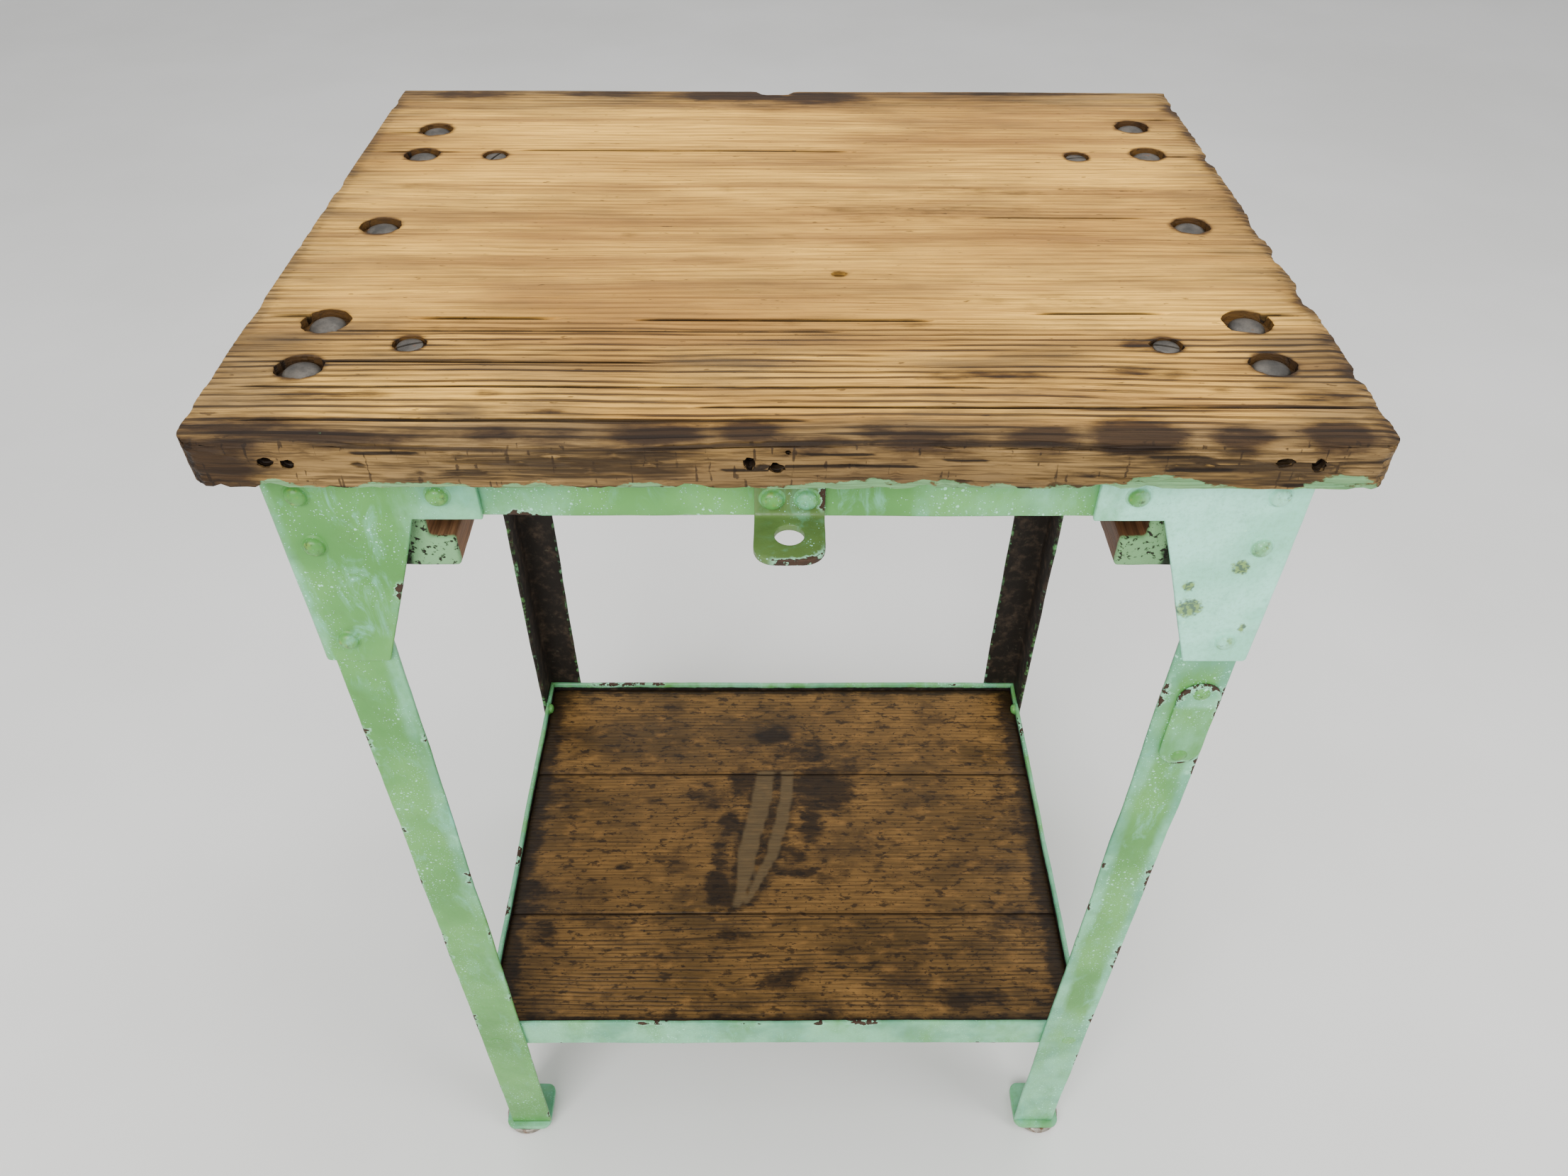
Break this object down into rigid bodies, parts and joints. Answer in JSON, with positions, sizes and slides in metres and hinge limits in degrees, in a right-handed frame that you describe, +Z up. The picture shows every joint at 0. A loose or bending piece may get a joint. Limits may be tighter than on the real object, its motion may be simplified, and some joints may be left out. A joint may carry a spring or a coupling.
{
  "type": "potting bench",
  "caption": "Small potting and work bench: riveted angle-iron frame, thick plank top, lipped plank shelf, wooden drawer runners under the top and a padlock hasp in front.",
  "frame": {"origin": "on the floor, under the middle of the bench's bounding box", "axes": "+Z up, +X to the right along the front, +Y from the front (the hasp's side) to the back"},
  "size_m": [0.63, 0.518, 0.9],
  "materials": {
    "top_wood": "worn, oiled softwood with raised grain, cracks and black stains",
    "shelf_wood": "dark stained softwood with a dull oil sheen",
    "runner_wood": "old rough sawn softwood",
    "green_paint": "old gloss paint, brushed on thick, chipped to dark steel at the edges",
    "mint_paint": "pale mint under-coat, worn",
    "dark_steel": "bare, brown-black rolled steel",
    "bolt_steel": "dull grey zinc",
    "glide_steel": "worn bright rim"
  },
  "bodies": {
    "root": {"badge_plate": "green_paint", "badge_rivet_lower": "green_paint", "badge_rivet_upper": "green_paint", "drawer_runner_left": "runner_wood", "drawer_runner_right": "runner_wood", "foot_plate_back_left": "mint_paint", "foot_plate_back_right": "mint_paint", "foot_plate_front_left": "mint_paint", "foot_plate_front_right": "mint_paint", "glide_back_left": "glide_steel", "glide_back_right": "glide_steel", "glide_front_left": "glide_steel", "glide_front_right": "glide_steel", "gusset_back_left": "green_paint", "gusset_back_right": "green_paint", "gusset_front_left": "green_paint", "gusset_front_right": "green_paint", "gusset_rivet_left_arm": "green_paint", "gusset_rivet_left_lower": "green_paint", "gusset_rivet_left_middle": "green_paint", "gusset_rivet_left_upper": "green_paint", "gusset_rivet_right_arm": "green_paint", "gusset_rivet_right_lower": "green_paint", "gusset_rivet_right_middle": "green_paint", "gusset_rivet_right_upper": "green_paint", "hasp_rivet_left": "green_paint", "hasp_rivet_right": "green_paint", "leg_back_left": "green_paint", "leg_back_right": "green_paint", "leg_front_left": "green_paint", "leg_front_right": "green_paint", "padlock_hasp": "green_paint", "runner_screw_left_back": "bolt_steel", "runner_screw_left_front": "bolt_steel", "runner_screw_right_back": "bolt_steel", "runner_screw_right_front": "bolt_steel", "shelf_plank_back": "shelf_wood", "shelf_plank_front": "shelf_wood", "shelf_plank_middle": "shelf_wood", "top_board_back": "top_wood", "top_board_front": "top_wood", "top_board_middle": "top_wood", "top_bolt_left_back": "bolt_steel", "top_bolt_left_back_inner": "bolt_steel", "top_bolt_left_front": "bolt_steel", "top_bolt_left_front_inner": "bolt_steel", "top_bolt_left_middle": "bolt_steel", "top_bolt_right_back": "bolt_steel", "top_bolt_right_back_inner": "bolt_steel", "top_bolt_right_front": "bolt_steel", "top_bolt_right_front_inner": "bolt_steel", "top_bolt_right_middle": "bolt_steel", "top_rail_back": "green_paint", "top_rail_front": "green_paint", "top_rail_left": "green_paint", "top_rail_right": "green_paint", "tray_rail_back": "green_paint", "tray_rail_front": "green_paint", "tray_rail_left": "green_paint", "tray_rail_right": "green_paint"}
  },
  "joints": []
}
